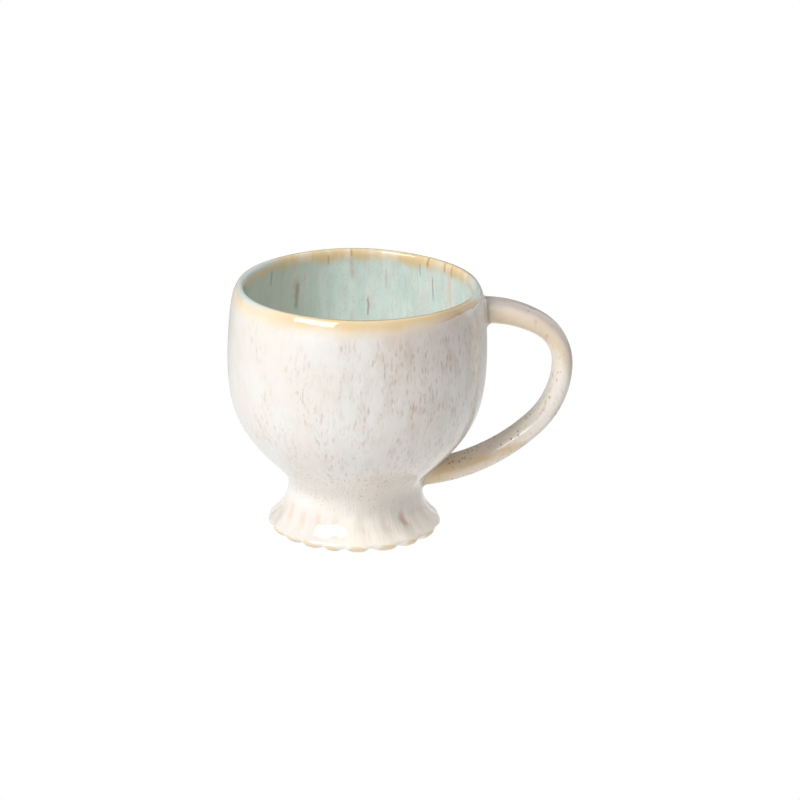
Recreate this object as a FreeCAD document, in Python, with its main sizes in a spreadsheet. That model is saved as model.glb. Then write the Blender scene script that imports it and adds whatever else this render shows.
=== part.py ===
import FreeCAD, Part
import os
from math import asin, cos, hypot, pi, radians, sin
import Sketcher
from FreeCAD import Placement, Rotation, Vector

# A stoneware mug, thrown and glazed in one piece: a round bowl on a short neck, a foot pressed into
# uneven pleats, and a strap handle drawn out of the bowl below the lip and back into the neck.
# Millimetres and degrees. +Z is up, the table is Z = 0, the bowl is round about Z, the handle is on +X.

# Driving sizes: name, value, what it measures.
SIZES = (
    ("lip_height", 93.95, "table to the top of the lip"),
    ("lip_spread", 18.6, "how far the middle of the lip stands out past the neck"),
    ("wall", 4.2, "thickness of the bowl's wall and of the round lip"),
    ("lip_leg", 1.55, "upright stretch under the round of the lip"),
    ("shoulder_drop", 6.95, "top of the lip down to the outer curve's pole where the bowl turns in"),
    ("shoulder_bulge", 1.7, "how far that pole stands out past the lip"),
    ("belly_rise", 17.1, "hip's pole up to the outer curve's pole at the belly"),
    ("belly_bulge", 3.2, "how far that pole stands out past the lip"),
    ("hip_rise", 12.4, "underside's pole up to the pole where the belly turns under"),
    ("hip_set_in", 4.8, "how far that pole stands in from the belly's"),
    ("hip_wall", 5.0, "level thickness of the wall there"),
    ("underside_rise", 7.0, "top of the neck up to the outer curve's pole on the underside of the bowl"),
    ("underside_spread", 8.0, "how far that pole stands out past the neck's"),
    ("neck_radius", 24.4, "axis to the outer curve's two poles at the neck"),
    ("neck_length", 4.2, "from one of them up to the other"),
    ("neck_flare", 3.9, "height of the neck's flare below them, down to where the pleats run out"),
    ("run_out_height", 12.4, "table to where the pleats have run out"),
    ("run_out_spread", 0.9, "how far the neck has flared there"),
    ("floor_rise", 1.6, "top of the neck up to the floor inside the bowl"),
    ("floor_set_in", 6.0, "how far the inner curve's pole at the floor's edge stands in from the neck's"),
    ("cove_rise", 3.5, "floor up to the inner curve's next pole"),
    ("cove_set_in", 2.2, "how far that pole stands in from the neck's"),
    ("skirt_height", 2.7, "table to the widest place of the foot"),
    ("skirt_spread", 7.5, "how far the crests of the pleats stand out past the neck there"),
    ("sole_set_in", 2.8, "how far the standing ring's edge stands in from there"),
    ("notch_depth", 3.0, "how far a furrow is pressed into the foot's edge at the table"),
    ("crease_depth", 0.5, "how deep the furrow still is at the widest place of the foot"),
    ("ring_width", 5.6, "width of the standing ring under a crest"),
    ("hollow_draft", 1.5, "how far the hollow narrows up to its dome"),
    ("hollow_side", 7.0, "height of the hollow's side"),
    ("dome_rise", 7.0, "top of the hollow's side up to the top of its dome"),
    ("hollow_round", 1.2, "round on the hollow's mouth"),
    ("handle_drop", 10.95, "top of the lip down to the handle's middle line in the wall"),
    ("handle_gap", 2.5, "where the pleats have run out up to the handle's lower face in the neck"),
    ("handle_root", 1.1, "how far the handle's lower end reaches in past the neck's poles"),
    ("finger_room", 24.2, "gap between the belly and the handle at its furthest"),
    ("strap_width", 12.6, "width of the handle at its furthest place"),
    ("strap_thickness", 7.8, "thickness of the handle there"),
    ("top_width", 13.4, "width of the handle at the bowl"),
    ("top_thickness", 9.6, "thickness of the handle at the bowl"),
    ("low_width", 13.4, "width of the handle at the neck"),
    ("low_thickness", 9.4, "thickness of the handle at the neck"),
    ("joint_round", 2.0, "round where the handle grows out of the bowl and of the neck"),
)

# The handle's middle line: where its furthest place is, as a share of the way up from its lower end, and
# how far each of its arcs turns, in degrees.
FULLEST = 0.653
UPPER_BEND_TURN = 59.9
UPPER_ARM_TURN = 31.8
LOWER_BEND_TURN = 46.3
LOWER_ARM_TURN = 41.1

# Pleats round the foot as the fingers pressed them: width in degrees, and how deep the furrow at the
# pleat's start is, as a share of the pleats' depth. The first furrow's place is in degrees from +X.
FIRST_FURROW = 4.0
PLEATS = (
    (18.0, 0.97), (21.0, 1.03), (17.0, 0.95), (20.0, 1.03), (17.0, 1.00),
    (20.0, 1.06), (17.0, 0.95), (16.0, 1.00), (17.0, 0.97), (21.0, 1.03),
    (18.5, 1.00), (16.0, 0.97), (17.5, 1.00), (15.2, 0.97), (20.6, 1.00),
    (21.7, 1.00), (17.0, 1.06), (23.0, 1.06), (26.5, 1.03),
)

# Poles across one pleat: share of its width, share of the furrow's depth pressed in there.
PLEAT_POLES = ((0.0, 1.0), (0.1, 1.0), (0.25, 0.08), (0.5, -0.06), (0.75, 0.08), (0.9, 1.0), (1.0, 1.0))

# Levels of the foot up to its widest place: share of the height, share of the way out from the sole, and
# share of the notch that is left.
TURN_LEVELS = ((0.0, 0.0, 1.0), (0.28, 0.62, 0.94), (0.62, 0.93, 0.38), (1.0, 1.0, 0.0))

# Levels above it: shares of the height up to where the pleats run out, and how the flare and the
# pleats fade on the way.
FLARE_LEVELS = (0.14, 0.30, 0.48, 0.66, 0.84)
FLARE_POWER = 2.0
FADE_POWER = 1.2

# Points closer than this are one place.
TOUCH = 0.01


class Size:
    """A length that knows its value and the expression that drives it."""

    def __init__(self, text, value):
        self.text = text
        self.value = value

    def __add__(self, other):
        return Size(f"({self.text} + {other.text})", self.value + other.value)

    def __sub__(self, other):
        return Size(f"({self.text} - {other.text})", self.value - other.value)

    def __mul__(self, factor):
        return Size(f"({self.text} * {factor})", self.value * factor)


def driving_sizes(doc):
    """Write the sizes into the document's sheet and return them by name."""
    sheet = doc.addObject("Spreadsheet::Sheet", "Sizes")
    for row, (name, value, meaning) in enumerate(SIZES, start=1):
        sheet.set(f"A{row}", name)
        sheet.set(f"B{row}", str(value))
        sheet.set(f"C{row}", meaning)
        sheet.setAlias(f"B{row}", name)
    doc.recompute()
    return {name: Size(f"Sizes.{name}", float(sheet.get(name))) for name, _, _ in SIZES}


def work_out(size):
    """Add the radii and heights that follow from the driving sizes, under names of their own."""
    neck = size["neck_radius"]
    size["neck_bottom"] = size["run_out_height"] + size["neck_flare"]
    size["neck_top"] = size["neck_bottom"] + size["neck_length"]
    size["floor_height"] = size["neck_top"] + size["floor_rise"]
    size["underside_height"] = size["neck_top"] + size["underside_rise"]
    size["hip_height"] = size["underside_height"] + size["hip_rise"]
    size["belly_height"] = size["hip_height"] + size["belly_rise"]
    size["shoulder_height"] = size["lip_height"] - size["shoulder_drop"]
    size["lip_spring"] = size["lip_height"] - size["wall"] * 0.5
    size["lip_radius"] = neck + size["lip_spread"]
    size["outer_lip"] = size["lip_radius"] + size["wall"] * 0.5
    size["inner_lip"] = size["lip_radius"] - size["wall"] * 0.5
    size["belly_radius"] = size["outer_lip"] + size["belly_bulge"]
    size["hip_radius"] = size["belly_radius"] - size["hip_set_in"]
    size["run_out_radius"] = neck + size["run_out_spread"]
    size["skirt_radius"] = neck + size["skirt_spread"]
    size["sole_radius"] = size["skirt_radius"] - size["sole_set_in"]
    size["hollow_radius"] = size["sole_radius"] - size["ring_width"]
    size["handle_reach"] = size["belly_radius"] + size["finger_room"] + size["strap_thickness"] * 0.5
    size["handle_top"] = size["lip_height"] - size["handle_drop"]
    size["handle_low"] = size["run_out_height"] + size["handle_gap"] + size["low_thickness"] * 0.5
    size["handle_middle"] = size["handle_low"] + (size["handle_top"] - size["handle_low"]) * FULLEST


def sketch_on(body, role, name, offset=None):
    """A sketch on one of the body's own planes, moved along the plane's normal by a size."""
    plane = [face for face in body.Origin.OriginFeatures if face.Role == role][0]
    sketch = body.newObject("Sketcher::SketchObject", name)
    sketch.AttachmentSupport = [(plane, "")]
    sketch.MapMode = "FlatFace"
    if offset:
        sketch.AttachmentOffset = Placement(Vector(0, 0, offset.value), Rotation())
        sketch.setExpression("AttachmentOffset.Base.z", offset.text)
    return sketch


def bind(sketch, kind, geometry, size):
    """Drive a length, a radius or the like of a sketch's geometry by a size."""
    index = sketch.addConstraint(Sketcher.Constraint(kind, *geometry, size.value))
    sketch.setExpression(f"Constraints[{index}]", size.text)


def pin(sketch, geometry, end, x, y):
    """Hold one point of a sketch's geometry at two sizes, or on an axis where one is None."""
    for size, kind, axis in ((x, "DistanceX", -2), (y, "DistanceY", -1)):
        if size is None:
            sketch.addConstraint(Sketcher.Constraint("PointOnObject", geometry, end, axis))
        else:
            bind(sketch, kind, (-1, 1, geometry, end), size)


def weld(sketch, *joints):
    """Join points of a sketch, each pair given as geometry, end, geometry, end."""
    for joint in joints:
        sketch.addConstraint(Sketcher.Constraint("Coincident", *joint))


def point(x, y):
    """A point in a sketch's plane at two sizes, where None is zero."""
    return Vector(x.value if x else 0.0, y.value if y else 0.0, 0)


def line(sketch, start, end):
    """Add a straight line between two points given by sizes and return its number."""
    return sketch.addGeometry(Part.LineSegment(point(*start), point(*end)), False)


def circle(centre, radius):
    """A circle in a sketch's plane."""
    return Part.Circle(centre, Vector(0, 0, 1), radius)


def smooth(poles):
    """A smooth open curve drawn by its poles."""
    return Part.BSplineCurve(poles, None, None, False, 3, None, False)


def curve(sketch, poles, free_end=False):
    """Add a smooth curve whose poles are held at sizes, the last one unless it is free."""
    number = sketch.addGeometry(smooth([point(*pole) for pole in poles]), False)
    sketch.exposeInternalGeometry(number)
    held = poles[:-1] if free_end else poles
    for index, pole in enumerate(held, start=1):
        pin(sketch, number + index, 3, *pole)
    return number


def turn_about_axis(body, kind, name, sketch):
    """Turn a sketch once about the mug's axis, adding or cutting."""
    feature = body.newObject(f"PartDesign::{kind}", name)
    feature.Profile = sketch
    feature.ReferenceAxis = (sketch, ["V_Axis"])
    feature.Angle = 360.0
    return feature


def turn_bowl(body, size):
    """Revolve the bowl: its neck, wall, round lip and floor."""
    wall = size["wall"]
    half_wall = wall * 0.5
    lip_spring = size["lip_spring"]
    leg_height = lip_spring - size["lip_leg"]
    sketch = sketch_on(body, "XZ_Plane", "bowl_section")
    outside = curve(sketch, (
        (size["run_out_radius"], size["run_out_height"]),
        (size["neck_radius"], size["neck_bottom"]),
        (size["neck_radius"], size["neck_top"]),
        (size["neck_radius"] + size["underside_spread"], size["underside_height"]),
        (size["hip_radius"], size["hip_height"]),
        (size["belly_radius"], size["belly_height"]),
        (size["outer_lip"] + size["shoulder_bulge"], size["shoulder_height"]),
        (size["outer_lip"], leg_height),
        (size["outer_lip"], lip_spring),
    ))
    inside = curve(sketch, (
        (None, size["floor_height"]),
        (size["neck_radius"] - size["floor_set_in"], size["floor_height"]),
        (size["neck_radius"] - size["cove_set_in"], size["floor_height"] + size["cove_rise"]),
        (size["hip_radius"] - size["hip_wall"], size["hip_height"]),
        (size["belly_radius"] - wall, size["belly_height"]),
        (size["inner_lip"] + size["shoulder_bulge"], size["shoulder_height"]),
        (size["inner_lip"], leg_height),
        (size["inner_lip"], lip_spring),
    ), free_end=True)
    lip_circle = circle(point(size["lip_radius"], lip_spring), half_wall.value)
    lip = sketch.addGeometry(Part.ArcOfCircle(lip_circle, 0.0, pi), False)
    pin(sketch, lip, 3, size["lip_radius"], lip_spring)
    weld(sketch, (lip, 1, outside, 2), (lip, 2, inside, 2))
    sketch.addConstraint(Sketcher.Constraint("Horizontal", lip, 3, lip, 2))
    axis = line(sketch, (None, size["floor_height"]), (None, size["run_out_height"]))
    seat = line(sketch, (None, size["run_out_height"]), (size["run_out_radius"], size["run_out_height"]))
    weld(sketch, (axis, 1, inside, 1), (axis, 2, seat, 1), (seat, 2, outside, 1))
    sketch.addConstraint(Sketcher.Constraint("Vertical", axis))
    sketch.addConstraint(Sketcher.Constraint("Horizontal", seat))
    return turn_about_axis(body, "Revolution", "bowl", sketch)


def pleats():
    """Each pleat as its two furrows' angles and their shares of the depth, once round the foot."""
    share = 360.0 / sum(width for width, _ in PLEATS)
    start = FIRST_FURROW
    around = []
    for number, (width, depth) in enumerate(PLEATS):
        next_depth = PLEATS[(number + 1) % len(PLEATS)][1]
        around.append((start, start + width * share, depth, next_depth))
        start += width * share
    return around


def pleated_ring(sketch, crest, depth):
    """Draw one level of the foot: a smooth curve for each pleat, from furrow to furrow."""
    for start, end, start_depth, end_depth in pleats():
        poles = []
        for place, pressed in PLEAT_POLES:
            angle = radians(start + (end - start) * place)
            furrow = start_depth if place < 0.5 else end_depth
            radius = crest - depth * furrow * pressed
            poles.append(Vector(radius * cos(angle), radius * sin(angle), 0))
        sketch.addGeometry(smooth(poles), False)


def round_ring(sketch, size):
    """Draw the circle where the pleats have run out, as one arc over each pleat."""
    ring = circle(Vector(), size.value)
    for start, end, _, _ in pleats():
        arc = sketch.addGeometry(Part.ArcOfCircle(ring, radians(start), radians(end)), False)
        weld(sketch, (arc, 3, -1, 1))
        bind(sketch, "Radius", (arc,), size)


def press_foot(body, size):
    """Loft the pleated foot from the table up to the neck, which it meets without a break."""
    sole = size["sole_radius"].value
    skirt = size["skirt_radius"].value
    run_out = size["run_out_radius"].value
    notch, crease = size["notch_depth"].value, size["crease_depth"].value
    rise = size["run_out_height"] - size["skirt_height"]
    lean = size["run_out_spread"].value / size["neck_flare"].value
    flare = skirt - run_out - lean * rise.value
    rings = []
    for height, way_out, notched in TURN_LEVELS:
        crest = sole + (skirt - sole) * way_out
        rings.append((size["skirt_height"] * height, crest, crease + (notch - crease) * notched))
    for height in FLARE_LEVELS:
        left = 1.0 - height
        crest = run_out + lean * rise.value * left + flare * left ** FLARE_POWER
        rings.append((size["skirt_height"] + rise * height, crest, crease * left ** FADE_POWER))
    sketches = []
    for number, (level, crest, pressed) in enumerate(rings):
        sketches.append(sketch_on(body, "XY_Plane", f"foot_level_{number}", level))
        pleated_ring(sketches[-1], crest, pressed)
    sketches.append(sketch_on(body, "XY_Plane", "run_out", size["run_out_height"]))
    round_ring(sketches[-1], size["run_out_radius"])
    foot = body.newObject("PartDesign::AdditiveLoft", "pleated_foot")
    foot.Profile = sketches[0]
    foot.Sections = sketches[1:]
    return foot


def cut_hollow(body, size):
    """Groove the domed hollow out of the foot from below."""
    mouth = size["hollow_radius"]
    top = mouth - size["hollow_draft"]
    side = size["hollow_side"]
    depth = side + size["dome_rise"]
    sketch = sketch_on(body, "XZ_Plane", "hollow_section")
    base = line(sketch, (None, None), (mouth, None))
    weld(sketch, (base, 1, -1, 1))
    pin(sketch, base, 2, mouth, None)
    flank = line(sketch, (mouth, None), (top, side))
    weld(sketch, (flank, 1, base, 2))
    pin(sketch, flank, 2, top, side)
    rise = size["dome_rise"].value
    radius = (top.value ** 2 + rise ** 2) / (2 * rise)
    middle = depth.value - radius
    spring = asin((side.value - middle) / radius)
    dome = sketch.addGeometry(Part.ArcOfCircle(circle(Vector(0, middle, 0), radius), spring, pi / 2), False)
    weld(sketch, (dome, 1, flank, 2))
    sketch.addConstraint(Sketcher.Constraint("PointOnObject", dome, 3, -2))
    pin(sketch, dome, 2, None, depth)
    axis = line(sketch, (None, depth), (None, None))
    weld(sketch, (axis, 1, dome, 2), (axis, 2, base, 1))
    return turn_about_axis(body, "Groove", "hollow", sketch)


def arc_pair(tip, furthest, bend_turn, arm_turn, side):
    """Centres and radii of the bend beside the furthest place and of the arm that goes on to the tip."""
    turned = radians(bend_turn)
    whole = radians(bend_turn + arm_turn)
    across = furthest.x - tip.x
    along = (tip.y - furthest.y) * side
    bend_across, bend_along = 1 - cos(turned), sin(turned)
    arm_across, arm_along = cos(turned) - cos(whole), sin(whole) - sin(turned)
    scale = bend_across * arm_along - bend_along * arm_across
    bend = (across * arm_along - along * arm_across) / scale
    arm = (bend_across * along - bend_along * across) / scale
    near = furthest - Vector(bend, 0, 0)
    far = near - Vector(cos(turned), sin(turned) * side, 0) * (arm - bend)
    return (near, bend, 0.0, turned * side), (far, arm, turned * side, whole * side)


def handle_line(body, start, furthest, end):
    """Sketch the handle's middle line: two smooth arcs above its furthest place and two below it."""
    sketch = sketch_on(body, "XZ_Plane", "handle_line")
    halves = (
        (start, UPPER_BEND_TURN, UPPER_ARM_TURN, 1),
        (end, LOWER_BEND_TURN, LOWER_ARM_TURN, -1),
    )
    arcs = []
    for tip, bend_turn, arm_turn, side in halves:
        pair = arc_pair(point(*tip), point(*furthest), bend_turn, arm_turn, side)
        for (centre, radius, first, last), turn in zip(pair, (bend_turn, arm_turn)):
            ring = circle(centre, radius)
            arc = sketch.addGeometry(Part.ArcOfCircle(ring, min(first, last), max(first, last)), False)
            sketch.addConstraint(Sketcher.Constraint("Angle", arc, radians(turn)))
            arcs.append(arc)
    upper_bend, upper_arm, lower_bend, lower_arm = arcs
    for joint in ((upper_arm, upper_bend), (upper_bend, lower_bend), (lower_bend, lower_arm)):
        sketch.addConstraint(Sketcher.Constraint("Tangent", joint[0], 1, joint[1], 2))
    sketch.addConstraint(Sketcher.Constraint("Horizontal", upper_bend, 3, upper_bend, 1))
    pin(sketch, upper_arm, 2, *start)
    pin(sketch, upper_bend, 1, *furthest)
    pin(sketch, lower_arm, 1, *end)
    return sketch


def strap_section(sketch, centre, width, thickness, flat):
    """Draw the handle's oval section, lying flat in its plane or standing on its edge."""
    middle = point(*centre)
    along = Vector(width.value / 2, 0, 0) if flat else Vector(0, width.value / 2, 0)
    across = Vector(0, thickness.value / 2, 0) if flat else Vector(-thickness.value / 2, 0, 0)
    oval = sketch.addGeometry(Part.Ellipse(middle + along, middle + across, middle), False)
    sketch.exposeInternalGeometry(oval)
    long_axis = oval + 1
    short_axis = oval + 2
    pin(sketch, oval, 3, *centre)
    sketch.addConstraint(Sketcher.Constraint("Horizontal" if flat else "Vertical", long_axis))
    bind(sketch, "Distance", (long_axis,), width)
    bind(sketch, "Distance", (short_axis,), thickness)


def draw_handle(body, size):
    """Sweep the strap handle along its middle line, fuller where it grows out of the mug."""
    in_wall = size["lip_radius"] + size["shoulder_bulge"]
    in_neck = size["neck_radius"] - size["handle_root"]
    top = size["handle_top"]
    low = size["handle_low"]
    reach = size["handle_reach"]
    middle = size["handle_middle"]
    spine = handle_line(body, (in_wall, top), (reach, middle), (in_neck, low))
    at_bowl = sketch_on(body, "YZ_Plane", "handle_at_bowl", in_wall)
    strap_section(at_bowl, (None, top), size["top_width"], size["top_thickness"], True)
    at_reach = sketch_on(body, "XY_Plane", "handle_at_reach", middle)
    strap_section(at_reach, (reach, None), size["strap_width"], size["strap_thickness"], False)
    at_neck = sketch_on(body, "YZ_Plane", "handle_at_neck", in_neck)
    strap_section(at_neck, (None, low), size["low_width"], size["low_thickness"], True)
    handle = body.newObject("PartDesign::AdditivePipe", "handle")
    handle.Profile = at_bowl
    handle.Spine = (spine, [])
    handle.Transformation = "Multisection"
    handle.Sections = [at_reach, at_neck]
    return handle


def fillet(body, name, grown, edges, size):
    """Round edges of the body, given by their numbers, with a radius bound to a size."""
    rounding = body.newObject("PartDesign::Fillet", name)
    rounding.Base = (grown, [f"Edge{number}" for number in edges])
    rounding.Radius = size.value
    rounding.setExpression("Radius", size.text)
    return rounding


def joint_edges(shape, beyond):
    """Numbers of the edges between the handle, whose faces reach beyond the bowl, and the rest."""
    found = []
    for number, edge in enumerate(shape.Edges, start=1):
        faces = [face for face in shape.Faces if any(edge.isSame(side) for side in face.Edges)]
        on_handle = [face for face in faces if face.BoundBox.XMax > beyond]
        if len(faces) == 2 and len(on_handle) == 1:
            found.append(number)
    return found


def mouth_edges(shape, radius):
    """Numbers of the round edges at the mouth of the hollow."""
    found = []
    for number, edge in enumerate(shape.Edges, start=1):
        on_mouth = [abs(hypot(end.X, end.Y) - radius) < TOUCH for end in edge.Vertexes]
        if edge.BoundBox.ZMax < TOUCH and all(on_mouth):
            found.append(number)
    return found


def make_mug(doc):
    """Build the mug as one body."""
    size = driving_sizes(doc)
    work_out(size)
    body = doc.addObject("PartDesign::Body", "mug")
    body.Label = "mug"
    turn_bowl(body, size)
    press_foot(body, size)
    hollow = cut_hollow(body, size)
    doc.recompute()
    mouth = mouth_edges(hollow.Shape, size["hollow_radius"].value)
    fillet(body, "hollow_mouth", hollow, mouth, size["hollow_round"])
    handle = draw_handle(body, size)
    doc.recompute()
    joints = joint_edges(handle.Shape, size["belly_radius"].value)
    fillet(body, "handle_joints", handle, joints, size["joint_round"])
    doc.recompute()
    return body


def check(doc, body):
    """Stop if anything failed, or if the mug isn't one valid solid."""
    for item in doc.Objects:
        if "Invalid" in item.State or "Error" in item.State:
            raise RuntimeError(f"{item.Name} failed: {item.State}")
    if body.Shape.isNull() or not body.Shape.isValid() or len(body.Shape.Solids) != 1:
        raise RuntimeError(f"{body.Label} isn't one valid solid")


def main():
    """Build the mug, check it and write it out."""
    doc = FreeCAD.newDocument("pleated_mug")
    body = make_mug(doc)
    check(doc, body)
    os.makedirs("parts", exist_ok=True)
    body.Shape.exportStep(f"parts/{body.Label}.step")
    box = body.Shape.BoundBox
    print(f"{body.Label}: {box.XLength:.1f} x {box.YLength:.1f} x {box.ZLength:.1f} mm,"
          f" {body.Shape.Volume / 1000:.1f} cm3")


main()
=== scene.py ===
"""A stoneware mug with a pleated foot: its thrown and pressed form, its running glazes and its studio."""

import logging
from dataclasses import dataclass, field
from enum import Enum
from math import cos, pi, radians, sin
from typing import Any, Callable, Iterable, Sequence

import bmesh
import bpy
import numpy as np
from mathutils import Matrix, Vector

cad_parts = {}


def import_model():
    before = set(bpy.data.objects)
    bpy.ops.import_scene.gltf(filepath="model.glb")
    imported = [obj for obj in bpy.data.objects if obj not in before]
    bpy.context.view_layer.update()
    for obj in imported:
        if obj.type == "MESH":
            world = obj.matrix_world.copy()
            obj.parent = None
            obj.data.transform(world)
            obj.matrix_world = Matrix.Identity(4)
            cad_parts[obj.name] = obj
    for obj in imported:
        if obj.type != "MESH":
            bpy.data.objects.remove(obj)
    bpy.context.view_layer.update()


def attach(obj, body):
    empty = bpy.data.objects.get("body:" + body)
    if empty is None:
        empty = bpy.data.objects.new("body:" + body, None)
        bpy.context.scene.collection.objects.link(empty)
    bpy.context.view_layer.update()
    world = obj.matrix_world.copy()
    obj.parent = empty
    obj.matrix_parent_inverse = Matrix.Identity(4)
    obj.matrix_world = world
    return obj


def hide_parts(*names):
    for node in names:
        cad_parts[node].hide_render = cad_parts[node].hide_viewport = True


LOG = logging.getLogger("mug")
MM = 0.001
Colour = tuple[float, float, float, float]
Pair = tuple[float, float]
WHITE: Colour = (1.0, 1.0, 1.0, 1.0)


def tint(red: int, green: int, blue: int) -> Colour:
    """Turn a colour as a screen shows it, 0 to 255, into the renderer's linear colour.

    Args:
        red: Red as shown on a screen.
        green: Green as shown on a screen.
        blue: Blue as shown on a screen.

    Returns:
        The linear colour with full alpha.
    """
    shares = (part / 255 for part in (red, green, blue))
    linear = (part / 12.92 if part <= 0.04045 else ((part + 0.055) / 1.055) ** 2.4 for part in shares)
    return (*linear, 1.0)


def smooth_line(poles: Sequence[Pair], samples: int) -> np.ndarray:
    """Draw a smooth open curve by its poles, as a cubic spline that starts and ends on them.

    Args:
        poles: The poles as pairs, in millimetres.
        samples: How many points to return.

    Returns:
        The points as an array of shape (samples, 2).
    """
    degree = 3
    points = np.array(poles, float)
    spans = len(points) - degree
    knots = np.concatenate([np.zeros(degree), np.linspace(0, 1, spans + 1), np.ones(degree)])
    places = np.linspace(0, 1, samples)
    weights = np.zeros((samples, len(knots) - 1))
    span = np.clip(np.searchsorted(knots, places, side="right") - 1, degree, len(points) - 1)
    weights[np.arange(samples), span] = 1.0
    for order in range(1, degree + 1):
        grown = np.zeros_like(weights)
        for index in range(len(knots) - order - 1):
            left = knots[index + order] - knots[index]
            right = knots[index + order + 1] - knots[index + 1]
            if left > 0:
                grown[:, index] += (places - knots[index]) / left * weights[:, index]
            if right > 0:
                grown[:, index] += (knots[index + order + 1] - places) / right * weights[:, index + 1]
        weights = grown
    return weights[:, :len(points)] @ points


def arc_lengths(points: np.ndarray) -> np.ndarray:
    """Length along a line of points up to each of them."""
    steps = np.linalg.norm(np.diff(points, axis=0), axis=1)
    return np.concatenate([[0.0], np.cumsum(steps)])


def turned(radius: Any, angles: np.ndarray, height: Any) -> np.ndarray:
    """Points about the mug's axis, with a last axis of three."""
    return np.stack(np.broadcast_arrays(radius * np.cos(angles), radius * np.sin(angles), height), axis=-1)


def ease(values: Any, start: float, end: float) -> Any:
    """Rise smoothly from 0 at start to 1 at end."""
    share = np.clip((values - start) / (end - start), 0.0, 1.0)
    return share * share * (3.0 - 2.0 * share)


@dataclass(frozen=True)
class Pleat:
    """One pleat of the foot, from its furrow to the next one. Degrees and millimetres."""

    width: float
    notch: float = 2.9
    crease: float = 0.9
    top: float = 11.5
    lean: float = 9.0


@dataclass
class Foot:
    """The foot, pressed into uneven pleats that run out on the neck. Millimetres and degrees."""

    sole_radius: float = 29.1
    skirt_radius: float = 31.9
    skirt_height: float = 2.7
    ring_width: float = 5.6
    hollow_draft: float = 1.5
    hollow_side: float = 7.0
    dome_rise: float = 7.0
    hollow_round: float = 1.2
    first_furrow: float = 4.0
    columns_per_pleat: int = 12
    sole_bend: Pair = (1.4, 0.3)
    skirt_start: float = 1.1
    skirt_bulge: float = 0.02
    lean_heights: Pair = (0.5, 11.0)
    notch_heights: Pair = (2.8, 0.5)
    notch_sharpness: float = 2.2
    crease_heights: Pair = (0.8, 5.5)
    crease_full: float = 6.0
    crease_sharpness: float = 1.6
    sole_samples: int = 80
    flare_samples: int = 200
    pleats: tuple[Pleat, ...] = (
        Pleat(18.0, 2.9, 0.8), Pleat(21.0, 3.1, 0.6), Pleat(17.0, 2.9, 0.7), Pleat(20.0, 3.1, 0.5),
        Pleat(17.0, 3.0, 0.8), Pleat(20.0, 3.2, 0.6), Pleat(17.0, 2.9, 0.5), Pleat(16.0, 3.0, 0.7),
        Pleat(17.0, 2.9, 0.6), Pleat(21.0, 3.1, 0.5), Pleat(18.5, 3.0, 0.5, 11.0, 5.0),
        Pleat(16.0, 2.9, 0.5, 10.0, 6.0), Pleat(17.5, 3.0, 0.5, 9.5, 6.0), Pleat(15.2, 2.9, 0.12, 9.0, 9.0),
        Pleat(20.6, 3.0, 0.1, 9.0, 8.0), Pleat(21.7, 3.0, 0.45, 11.5, 10.0), Pleat(17.0, 3.2, 0.8, 12.5, 11.0),
        Pleat(23.0, 3.2, 1.3, 13.5, 9.0), Pleat(26.5, 3.1, 0.5, 12.0, 8.0),
    )

    @property
    def hollow_radius(self) -> float:
        """Radius of the hollow's mouth."""
        return self.sole_radius - self.ring_width

    def furrows(self) -> tuple[np.ndarray, ...]:
        """Angle in radians, notch, crease, top and lean of each furrow, with the first one again at the end."""
        widths, *shapes = (np.array(column) for column in zip(*(
            (pleat.width, pleat.notch, pleat.crease, pleat.top, pleat.lean) for pleat in self.pleats)))
        angles = self.first_furrow + np.concatenate([[0.0], np.cumsum(widths) * 360.0 / widths.sum()])
        return np.radians(angles), *(np.append(values, values[0]) for values in shapes)

    def columns(self) -> np.ndarray:
        """Angles of the mesh's columns, evenly spread over each pleat."""
        angles = self.furrows()[0]
        steps = np.arange(self.columns_per_pleat) / self.columns_per_pleat
        return (angles[:-1, None] + np.diff(angles)[:, None] * steps).ravel()

    def pressed(self, angles: np.ndarray, heights: np.ndarray) -> tuple[np.ndarray, np.ndarray]:
        """How far the pleats press the foot in: a notch at the table, and a shallow crease above it.

        Args:
            angles: Angles about the axis, in radians.
            heights: Heights above the table, one for each angle.

        Returns:
            The depth in millimetres, and how near a furrow's middle each place is, from 0 to 1.
        """
        places, notches, creases, tops, leans = self.furrows()
        start = places[0]
        leaning = np.interp((angles - start) % (2 * pi) + start, places, leans)
        swung = (angles + np.radians(leaning) * ease(heights, *self.lean_heights) - start) % (2 * pi) + start
        number = np.clip(np.searchsorted(places, swung, side="right") - 1, 0, len(places) - 2)
        share = (swung - places[number]) / (places[number + 1] - places[number])
        nearest = number + (share > 0.5)
        wave = (1.0 + np.cos(2 * pi * share)) / 2
        notch = notches[nearest] * wave ** self.notch_sharpness * ease(heights, *self.notch_heights)
        fade = ease(heights, tops[nearest], self.crease_full) * ease(heights, *self.crease_heights)
        return notch + creases[nearest] * wave ** self.crease_sharpness * fade, wave


class Side(Enum):
    """A side of the lip, by its place in the lip's pairs of sizes."""

    OUTER = 0
    INNER = 1


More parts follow.
